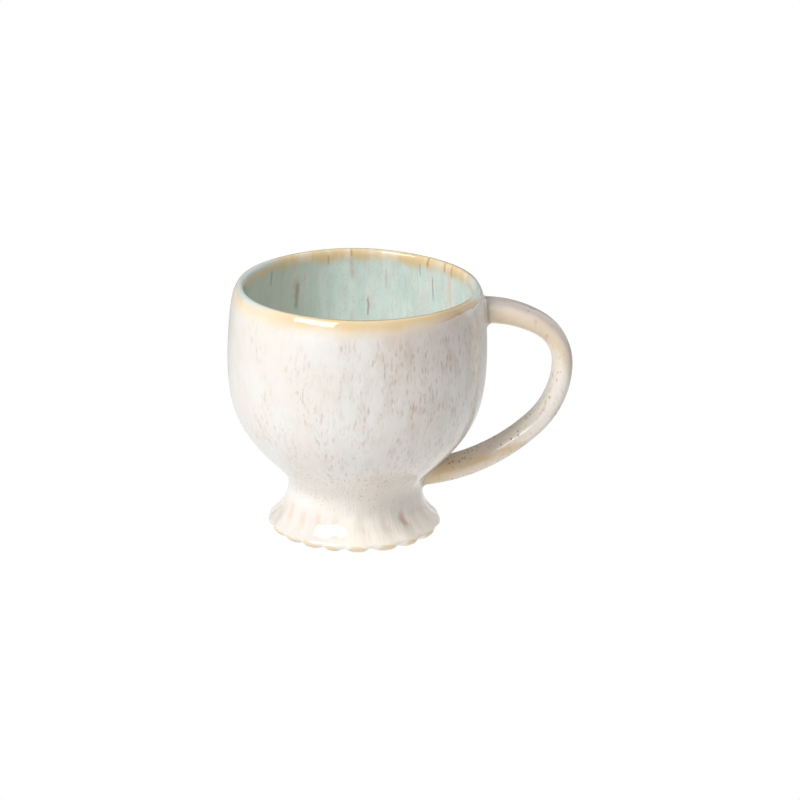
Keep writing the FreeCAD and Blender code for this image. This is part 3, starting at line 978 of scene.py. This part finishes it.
@dataclass(frozen=True)
class GlazedStoneware:
    """The mug's finish: a milky glaze over flecked clay, honey at the lip and a sea-green inside, with shade, light and
    a sheen painted into its colour in places.
    """

    glazes: Glazes = Glazes()
    around: float = 48.3
    # The side away from the softbox, towards which shade is painted.
    dark_side: float = 325.0
    # The directions of the rim's right and left ends: the honey band narrows towards the right one, a sheen is painted
    # on the crest at both, and the inside's shade lies towards the left one.
    rim_end_sides: Pair = (350.0, 172.0)
    # The furrow that carries a dark line in the glaze.
    marked_furrow: float = 303.0
    haze: float = 300.0
    far_side: float = 82.0
    relief: float = 0.0004
    gloss: float = 0.07
    index: float = 1.6

    def flecks(self, flow: Flow, colour: Wire, thick: Wire) -> Wire:
        """Scatter upright flecks that the glaze drew down as it ran: smears, dashes and small spots.

        Args:
            flow: The glaze's flow.
            colour: The colour under the flecks.
            thick: How thickly they lie, 0 to 1.

        Returns:
            The colour with its flecks.
        """
        bench, glazes = flow.bench, self.glazes
        smear = flow.noise(0.4, 0.13, 11.0, 2.5, 0.6, 0.3)
        colour = colour.coat(glazes.blush, smear.rise(0.44, 0.68) * (thick * 0.18 + 0.08))
        dash = flow.noise(0.95, 0.27, 23.0, 2.0, 0.6, 0.2)
        kind = flow.noise(0.16, 0.1, 29.0, 1.0)
        tone = bench.mix(kind.rise(0.42, 0.6), glazes.fleck_warm, glazes.fleck_cool)
        colour = colour.coat(tone, dash.rise(0.54, 0.74) * thick * 0.52)
        for across, down, shift, size, strength in ((0.7, 0.22, 31.0, 0.31, 0.52), (1.1, 0.36, 48.0, 0.28, 0.42)):
            warp = flow.noise(1.1, 0.32, shift)
            far, luck, kind = flow.cells(across, down, shift)
            there = (far + warp * 0.3).rise(size + 0.28, size - 0.04) * luck.rise(0.4, 0.9)
            fleck = bench.mix(kind.rise(0.6, 0.75), glazes.fleck_warm, glazes.fleck_cool)
            colour = colour.coat(fleck, there * (thick * thick) * strength)
        return colour

    def outside(self, flow: Flow) -> Wire:
        """Colour the outside, with its flecks, neck and foot, and with shade painted on its side away from the softbox
        and on the neck under the belly.

        Args:
            flow: The glaze's flow.

        Returns:
            The colour.
        """
        glazes, from_lip, height = self.glazes, flow.from_lip, flow.height
        facing = flow.facing(self.dark_side)
        cloud = flow.noise(0.05, 0.04, 3.0, 3.0, 0.6)
        colour = flow.bench.mix(cloud.rise(0.35, 0.68), glazes.milk, glazes.cream)
        mottle = flow.noise(0.22, 0.12, 17.0, 3.0, 0.6)
        # Grey-beige mottle: partly the glaze's own, partly painted shade, as it grows towards the side away from the
        # softbox.
        colour = colour.coat(glazes.shade, mottle.rise(0.44, 0.68) * facing.rise(-0.2, 1.0) * 0.45)
        # Painted shade: the lower part of the side away from the softbox is darkened.
        colour = colour.coat(glazes.shade, height.rise(52.0, 30.0) * facing.rise(0.3, 0.9) * 0.4)
        patch = flow.noise(0.09, 0.07, 21.0)
        behind = flow.facing(self.far_side).rise(0.05, 0.5)
        # Flecks lie thinner on the lit side and thicker towards the side away from the softbox: painted light and shade
        # over the real flecks.
        cover = patch + facing * 0.2 * (1.0 - behind) + behind * 0.12
        thick = cover.rise(0.32, 0.66) * from_lip.rise(4.0, 11.0)
        colour = self.flecks(flow, colour, thick * height.rise(9.0, 20.0))
        haze = flow.facing(self.haze).rise(0.86, 0.97) * from_lip.rise(28.0, 10.0)
        colour = colour.coat(glazes.fleck_warm, haze * 0.25)
        # Painted shade: the neck under the belly darkens, more towards the side away from the softbox.
        neck = height.band(13.0, 18.5, 21.0, 29.0) * facing.rise(-0.7, 0.6)
        colour = colour.coat(glazes.neck, neck * (cloud * 0.6 + 0.2))
        far, luck, _ = flow.cells(0.9, 0.8, 91.0)
        low = height.band(12.0, 17.0, 27.0, 40.0) * cloud.rise(0.4, 0.6)
        dots = far.rise(0.36, 0.16) * luck.rise(0.55, 0.62) * low
        colour = colour.coat(glazes.speck_and_joint_shade, dots * 0.6)
        return self.foot(flow, colour, facing)

    def foot(self, flow: Flow, colour: Wire, facing: Wire) -> Wire:
        """Lay blush in the furrows of the foot, streaks down its skirt and honey on the edges of its pleats, with
        painted light and shade on its skirt and in its creases.

        Args:
            flow: The glaze's flow.
            colour: The colour under them.
            facing: How much a place faces the dark side, 1 to -1.

        Returns:
            The colour with the foot's own glazes and its painted light and shade.
        """
        glazes, furrow, height = self.glazes, flow.furrow, flow.height
        # Painted light and shade: the skirt is dimmed where the softbox falls and paler on the side away from it.
        skirt = flow.bench.mix(facing.rise(-0.1, 0.6), glazes.skirt, glazes.skirt_painted_light)
        colour = colour.coat(skirt, height.rise(15.0, 9.0) * 0.8)
        streak = flow.noise(0.5, 0.07, 53.0, 2.0, 0.6).rise(0.52, 0.66) * height.band(2.5, 7.0, 11.0, 17.0)
        # Streaks down the skirt, darker towards the side away from the softbox: real streaks with painted shade.
        colour = colour.coat(glazes.shade, streak * facing.rise(-0.2, 0.8) * 0.45)
        luck = flow.noise(0.11, 0.02, 61.0, 1.0)
        drop = furrow.rise(0.45, 0.9) * height.band(4.5, 8.0, 9.0, 13.0)
        colour = colour.coat(glazes.peach, drop * luck.rise(0.25, 0.55) * (0.6 - facing.rise(0.0, 0.7) * 0.4))
        # Painted shade: the creases darken, more towards the side away from the softbox.
        crease = furrow.rise(0.35, 0.95) * height.band(3.0, 6.0, 11.0, 16.0)
        colour = colour.coat(glazes.shade, crease * facing.rise(-0.1, 0.6) * 0.15)
        # A dark line in the glaze down one furrow, and faint painted shade down the middle of the others.
        furrow_line = furrow.rise(0.7, 1.0) * height.band(5.5, 8.0, 10.5, 14.0)
        chosen = flow.facing(self.marked_furrow).rise(0.97, 0.99)
        colour = colour.coat(glazes.fleck_warm, furrow_line * (chosen * 0.6 + 0.1))
        ragged = flow.noise(0.3, 0.3, 5.0)
        edge = (height + ragged * 0.5 + furrow * furrow * 2.8).rise(3.5, 2.9)
        colour = colour.coat(glazes.honey, edge * 0.7)
        return colour.coat(glazes.clay, height.rise(0.12, 0.0))

    def inside(self, flow: Flow) -> Wire:
        """Colour the inside: sea green in soft streaks, with pale and brown runs down it.

        Args:
            flow: The glaze's flow.

        Returns:
            The colour.
        """
        bench, glazes, depth = flow.bench, self.glazes, 0.0 - flow.from_lip
        broad = flow.noise(0.1, 0.06, 41.0, 3.0, 0.6)
        streak = flow.noise(0.45, 0.08, 43.0, 3.0, 0.6)
        colour = bench.mix((broad * 0.7 + streak * 0.3).rise(0.42, 0.58), glazes.sea_deep, glazes.sea)
        for glaze, across, down, shift, start, full, strength in (
            (glazes.sea_light, 0.17, 0.08, 47.0, 0.42, 0.66, 0.6),
            (glazes.sea_grey, 0.24, 0.07, 59.0, 0.46, 0.68, 0.5),
            (glazes.run, 0.7, 0.11, 63.0, 0.56, 0.7, 0.3),
        ):
            colour = colour.coat(glaze, flow.noise(across, down, shift, 3.0, 0.6).rise(start, full) * strength)
        far, luck, _ = flow.cells(1.5, 0.9, 97.0)
        colour = colour.coat(glazes.run_dark, far.rise(0.3, 0.12) * luck.rise(0.74, 0.8) * 0.45)
        ragged = flow.noise(0.12, 0.05, 67.0, 3.0, 0.6)
        shadow = flow.facing(self.rim_end_sides[1]).rise(0.1, 0.72)
        colour = colour.coat(glazes.sea_shadow, shadow * 0.62)
        fine = flow.noise(0.8, 0.15, 71.0, 3.0, 0.6)
        reach = depth - ragged * 8.0 - fine * 3.0
        colour = colour.coat(glazes.beige_deep, reach.rise(2.5, -3.0) * (shadow * 0.3 + 0.5))
        edge = bench.mix(ragged.rise(0.35, 0.55), glazes.honey_pale, glazes.honey)
        return colour.coat(edge, (depth - ragged * 4.0 - fine * 1.4).rise(3.2, 0.2) * 0.9)

    def runs(self, flow: Flow, colour: Wire, runs: Iterable[Run]) -> Wire:
        """Lay the runs that stand out, each down its own line below the lip.

        Args:
            flow: The glaze's flow.
            colour: The inside's colour.
            runs: The runs.

        Returns:
            The colour with the runs.
        """
        depth = 0.0 - flow.from_lip
        bend = flow.noise(0.2, 0.3, 79.0) - 0.5
        for run in runs:
            length = run.bottom - run.top
            aside = abs(flow.along(run.angle + 90.0) + bend * run.width * 1.6)
            near = aside.rise(run.width, run.width * 0.25) * flow.along(run.angle).rise(0.0, flow.around * 0.5)
            hangs = depth.band(run.top - length * 0.1, run.top + length * 0.15, run.bottom - length * 0.3, run.bottom)
            colour = colour.coat(run.colour, near * hangs * run.strength)
        return colour

    def lip(self, flow: Flow, outside: Wire, inside: Wire) -> Wire:
        """Join outside and inside over the lip, with its honey band, the thin line on its crest and a painted sheen on
        the crest at the rim's two ends.

        Args:
            flow: The glaze's flow.
            outside: The outside's colour.
            inside: The inside's colour.

        Returns:
            The colour of both.
        """
        glazes, from_lip = self.glazes, flow.from_lip
        ragged = flow.noise(0.085, 0.04, 73.0, 3.0, 0.5)
        fine = flow.noise(0.5, 0.1, 77.0)
        right, left = (flow.facing(side) for side in self.rim_end_sides)
        edge = from_lip + (ragged - 0.5) * 4.0 + (fine - 0.5) * 1.4 + right.rise(0.35, 0.95) * 2.8
        outside = outside.coat(glazes.honey_pale, edge.rise(9.0, 3.6) * 0.9)
        outside = outside.coat(glazes.honey, edge.rise(5.8, 2.4) * (0.85 - left.rise(0.2, 0.8) * 0.5))
        crisp = right.rise(0.6, 0.85)
        line = edge - 5.4
        outside = outside.coat(glazes.tan, line.rise(0.25, -0.25) * crisp * 0.8)
        outside = outside.coat(glazes.run_dark, abs(line).rise(0.35, 0.1) * crisp * 0.4)
        colour = outside.coat(inside, from_lip.rise(0.2, -0.2))
        # Painted highlight: a pale sheen on the crest at the rim's two ends.
        ends = right.rise(0.92, 0.985) + left.rise(0.6, 0.88)
        colour = colour.coat(glazes.crest, abs(from_lip + 0.3 + (fine - 0.5) * 1.6).rise(3.0, 1.9) * ends)
        return colour.coat(glazes.crest_green, abs(from_lip - 0.1).rise(0.65, 0.15) * (1.0 - ends) * (fine + 0.1))

    def handle(self, flow: Flow, colour: Wire) -> Wire:
        """Colour the handle: grey-lilac on its outer and inner faces, cream and honey on its edges, with painted light
        on its middle and painted shade at its joints.

        Args:
            flow: The glaze's flow.
            colour: The bowl's colour.

        Returns:
            The colour of both.
        """
        bench, glazes = flow.bench, self.glazes
        weight, along, outer = bench.parts("strap")
        cloud = flow.noise(0.12, 0.07, 83.0, 3.0, 0.6)
        knot = along.band(0.68, 0.78, 0.92, 0.98)
        face = outer + (cloud - 0.5) * 0.25
        # Painted light: the handle's middle is a brighter cream, partly the glaze's own cream.
        middle = along.band(0.22, 0.45, 0.6, 0.8)
        strap = bench.mix(middle, glazes.beige, glazes.bright)
        honey = abs(face - 0.38 - middle * 0.3).rise(0.15, 0.05) * cloud.rise(0.3, 0.52)
        strap = strap.coat(glazes.honey, honey * (along.rise(0.5, 0.75) * 0.35 + 0.35))
        strap = strap.coat(glazes.lilac, face.rise(0.58, 0.82) * 0.9)
        inner = face.rise(0.36, 0.22) * along.rise(0.45, 0.68)
        strap = strap.coat(bench.mix(along.rise(0.74, 0.92), glazes.grey, glazes.umber), inner * 0.9)
        strap = strap.coat(glazes.honey, along.rise(0.86, 0.97) * 0.6)
        smear = flow.noise(0.5, 0.2, 87.0, 2.0, 0.6)
        strap = strap.coat(glazes.fleck_warm, smear.rise(0.58, 0.7) * 0.35)
        far, luck, _ = flow.cells(0.8, 0.5, 93.0)
        patch = flow.noise(0.12, 0.12, 99.0, 1.0)
        specks = far.rise(0.42, 0.16) * (luck + knot * 0.25).rise(0.5, 0.65) * (patch + knot * 0.22).rise(0.53, 0.65)
        strap = strap.coat(glazes.speck_and_joint_shade, specks * abs(face - 0.5).rise(0.08, 0.2) * 0.85)
        colour = colour.coat(strap, weight)
        # Painted shade: a dark line along both joints, in the round between handle and bowl.
        return colour.coat(glazes.speck_and_joint_shade, abs(weight - 0.6).rise(0.35, 0.05) * 0.35)

    def make(self, runs: Iterable[Run]) -> bpy.types.Material:
        """Put the finish together.

        Args:
            runs: The runs that stand out inside.

        Returns:
            The material.
        """
        bench = Bench(bpy.data.materials.new("glazed_stoneware"))
        flow = Flow(bench, self.around)
        inside = self.runs(flow, self.inside(flow), runs)
        colour = self.handle(flow, self.lip(flow, self.outside(flow), inside))
        relief = flow.noise(0.09, 0.05, 7.0) * 0.9 + flow.noise(1.1, 0.7, 13.0) * 0.05
        normal = bench.wire("Bump", {"Strength": 1.0, "Distance": self.relief, "Height": relief})
        roughness = flow.height.rise(0.12, 0.0) * 0.6 + self.gloss
        surface = bench.wire("BsdfPrincipled", {
            "Base Color": colour, "Roughness": roughness, "Normal": normal, "IOR": self.index})
        bench.node("OutputMaterial", {"Surface": surface})
        return bench.owner


def placed(name: str, data: Any) -> bpy.types.Object:
    """Put a mesh, a light or a camera in the scene."""
    thing = bpy.data.objects.new(name, data)
    bpy.context.scene.collection.objects.link(thing)
    return thing


def direction(azimuth: float, elevation: float) -> Vector:
    """The way from the mug to a place that stands round and above it, by degrees from the front."""
    round_by, up_by = radians(azimuth), radians(elevation)
    return Vector((sin(round_by) * cos(up_by), -cos(round_by) * cos(up_by), sin(up_by)))


@dataclass
class MugBuilder:
    """Turns the mug's form into Blender's mesh and dresses it."""

    mug: Mug
    finish: GlazedStoneware
    runs: tuple[Run, ...] = (
        Run(133.0, 4.5, 11.5, 0.7, 0.55, Glazes.run_dark),
        Run(125.0, 4.0, 16.0, 0.6, 0.4, Glazes.run),
        Run(116.0, 10.0, 19.0, 2.4, 0.4, Glazes.run),
        Run(115.0, 12.0, 24.0, 1.3, 0.55, Glazes.run_dark),
        Run(98.5, 2.5, 7.0, 0.6, 0.6, Glazes.honey_brown),
        Run(86.5, 0.3, 4.0, 0.8, 0.7, Glazes.honey_brown),
        Run(86.0, 3.0, 14.0, 1.2, 0.5, Glazes.run),
        Run(77.5, 20.0, 28.0, 0.6, 0.6, Glazes.run_dark),
        Run(68.5, 8.0, 17.0, 0.7, 0.4, Glazes.run),
        Run(49.5, 3.5, 9.0, 0.4, 0.6, Glazes.run_dark),
        Run(44.5, 0.3, 4.5, 0.8, 0.85, Glazes.honey_brown),
        Run(42.0, 7.5, 18.0, 0.5, 0.55, Glazes.run_dark),
        Run(33.0, 0.3, 5.0, 0.8, 0.7, Glazes.honey_brown),
        Run(29.5, 3.5, 22.0, 1.6, 0.6, Glazes.peach),
        Run(27.5, 1.0, 6.5, 0.7, 0.7, Glazes.honey_brown),
    )

    def make(self) -> bpy.types.Object:
        """Build the mesh with its attributes and finish.

        Returns:
            The mug as one object, in metres in the frame's own place.
        """
        grid = self.mug.build()
        points = self.mug.uneven(np.vstack(grid.points)) * MM
        mesh = bpy.data.meshes.new("glazed_mug")
        mesh.from_pydata(points.tolist(), [], grid.faces)
        for name, values in (("place", grid.place), ("flow", grid.flow), ("strap", grid.strap)):
            kept = mesh.attributes.new(name, "FLOAT_VECTOR", "POINT")
            kept.data.foreach_set("vector", np.vstack(values).astype(np.float32).ravel())
        mesh.polygons.foreach_set("use_smooth", np.ones(len(mesh.polygons), bool))
        self.face_outwards(mesh)
        mesh.materials.append(self.finish.make(self.runs))
        return placed("glazed_mug", mesh)

    def face_outwards(self, mesh: bpy.types.Mesh) -> None:
        """Turn every face's front outwards."""
        work = bmesh.new()
        work.from_mesh(mesh)
        bmesh.ops.recalc_face_normals(work, faces=work.faces)
        open_edges = sum(1 for edge in work.edges if len(edge.link_faces) != 2)
        LOG.info("%d faces, %d edges that don't join two faces", len(work.faces), open_edges)
        work.to_mesh(mesh)
        work.free()


@dataclass
class Lamp:
    """A soft rectangular light, placed round the mug by its direction from the mug."""

    name: str
    azimuth: float
    elevation: float
    distance: float
    size: Pair
    power: float

    def make(self, aim: Vector) -> None:
        """Hang the light.

        Args:
            aim: The point that it faces.
        """
        light = bpy.data.lights.new(self.name, "AREA")
        light.shape = "RECTANGLE"
        light.size, light.size_y = self.size
        light.energy = self.power
        way = direction(self.azimuth, self.elevation)
        lamp = placed(self.name, light)
        lamp.location = aim + way * self.distance
        lamp.rotation_euler = way.to_track_quat("Z", "Y").to_euler()


@dataclass
class Studio:
    """A white floor and background, one softbox and weak light from all round."""

    floor_size: float = 6.0
    surround: float = 0.3
    bounce: float = 0.5
    pool: float = 0.95
    pool_radius: float = 0.3
    pool_core: float = 0.04
    backdrop: float = 1.05
    aim: float = 0.045
    lamps: tuple[Lamp, ...] = (
        Lamp("softbox", -50.0, 42.0, 1.1, (0.66, 0.46), 9.0),
        Lamp("window", -40.0, 8.0, 1.5, (1.6, 1.2), 3.5),
        Lamp("left_wall", -115.0, 15.0, 1.4, (1.2, 1.2), 2.5),
        Lamp("right_wall", 128.0, 12.0, 1.4, (1.2, 1.2), 3.5),
        Lamp("ceiling", 50.0, 75.0, 1.2, (1.4, 1.4), 3.8),
    )

    def make(self) -> None:
        """Lay the floor, light the surround and hang the lamps."""
        self.floor()
        self.world()
        for lamp in self.lamps:
            lamp.make(Vector((0.0, 0.0, self.aim)))

    def floor(self) -> None:
        """Lay a white floor that shows no shadow."""
        bench = Bench(bpy.data.materials.new("white_floor"))
        place = bench.wire("TexCoord", {}, "Object")
        away = bench.wire("VectorMath", {0: place}, "Value", operation="LENGTH")
        thrown = away.rise(self.pool_radius, self.pool_core) * (self.pool - self.bounce) + self.bounce
        seen = bench.wire("LightPath", {}, "Is Camera Ray")
        glow = bench.wire("Emission", {"Color": WHITE, "Strength": thrown + seen * (1.0 - thrown)})
        bench.node("OutputMaterial", {"Surface": glow})
        half = self.floor_size / 2
        corners = [(-half, -half, 0.0), (half, -half, 0.0), (half, half, 0.0), (-half, half, 0.0)]
        mesh = bpy.data.meshes.new("white_floor")
        mesh.from_pydata(corners, [], [(0, 1, 2, 3)])
        mesh.materials.append(bench.owner)
        floor = placed("white_floor", mesh)

    def world(self) -> None:
        """Light the surround evenly, and show it white."""
        bench = Bench(bpy.data.worlds.new("studio"))
        bpy.context.scene.world = bench.owner
        seen = bench.wire("LightPath", {}, "Is Camera Ray")
        strength = bench.wire("MapRange", {"Value": seen, "To Min": self.surround, "To Max": self.backdrop})
        bench.node("OutputWorld", {"Surface": bench.wire("Background", {"Strength": strength})})


@dataclass
class PhotoCamera:
    """The camera at the photograph's place. Millimetres and degrees."""

    azimuth: float = -8.0
    elevation: float = 19.43
    roll: float = 1.14
    distance: float = 1450.0
    aside: float = 16.08
    height: float = 49.01
    lens: float = 177.3
    sensor: float = 36.0

    def make(self) -> None:
        """Set the camera up and make it the scene's own."""
        right = Vector((cos(radians(self.azimuth)), sin(radians(self.azimuth)), 0.0))
        back = direction(self.azimuth, self.elevation)
        target = (right * self.aside + Vector((0.0, 0.0, self.height))) * MM
        camera = bpy.data.cameras.new("photo_camera")
        camera.lens = self.lens
        camera.sensor_width = self.sensor
        camera.sensor_fit = "HORIZONTAL"
        view = placed("photo_camera", camera)
        turn = back.to_track_quat("Z", "Y").to_matrix().to_4x4() @ Matrix.Rotation(radians(self.roll), 4, "Z")
        view.matrix_world = Matrix.Translation(target + back * self.distance * MM) @ turn
        bpy.context.scene.camera = view


def main() -> None:
    """Load the frame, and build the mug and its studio."""
    logging.basicConfig(level=logging.INFO, format="%(name)s: %(message)s")
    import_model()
    bowl = Bowl(Foot())
    piece = MugBuilder(Mug(bowl, Strap()), GlazedStoneware()).make()
    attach(piece, "root")
    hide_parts("mug")
    LOG.info("%s: %d vertices", piece.name, len(piece.data.vertices))
    Studio().make()
    PhotoCamera().make()
    bpy.context.scene.view_settings.view_transform = "Standard"


if __name__ == "__main__":
    main()
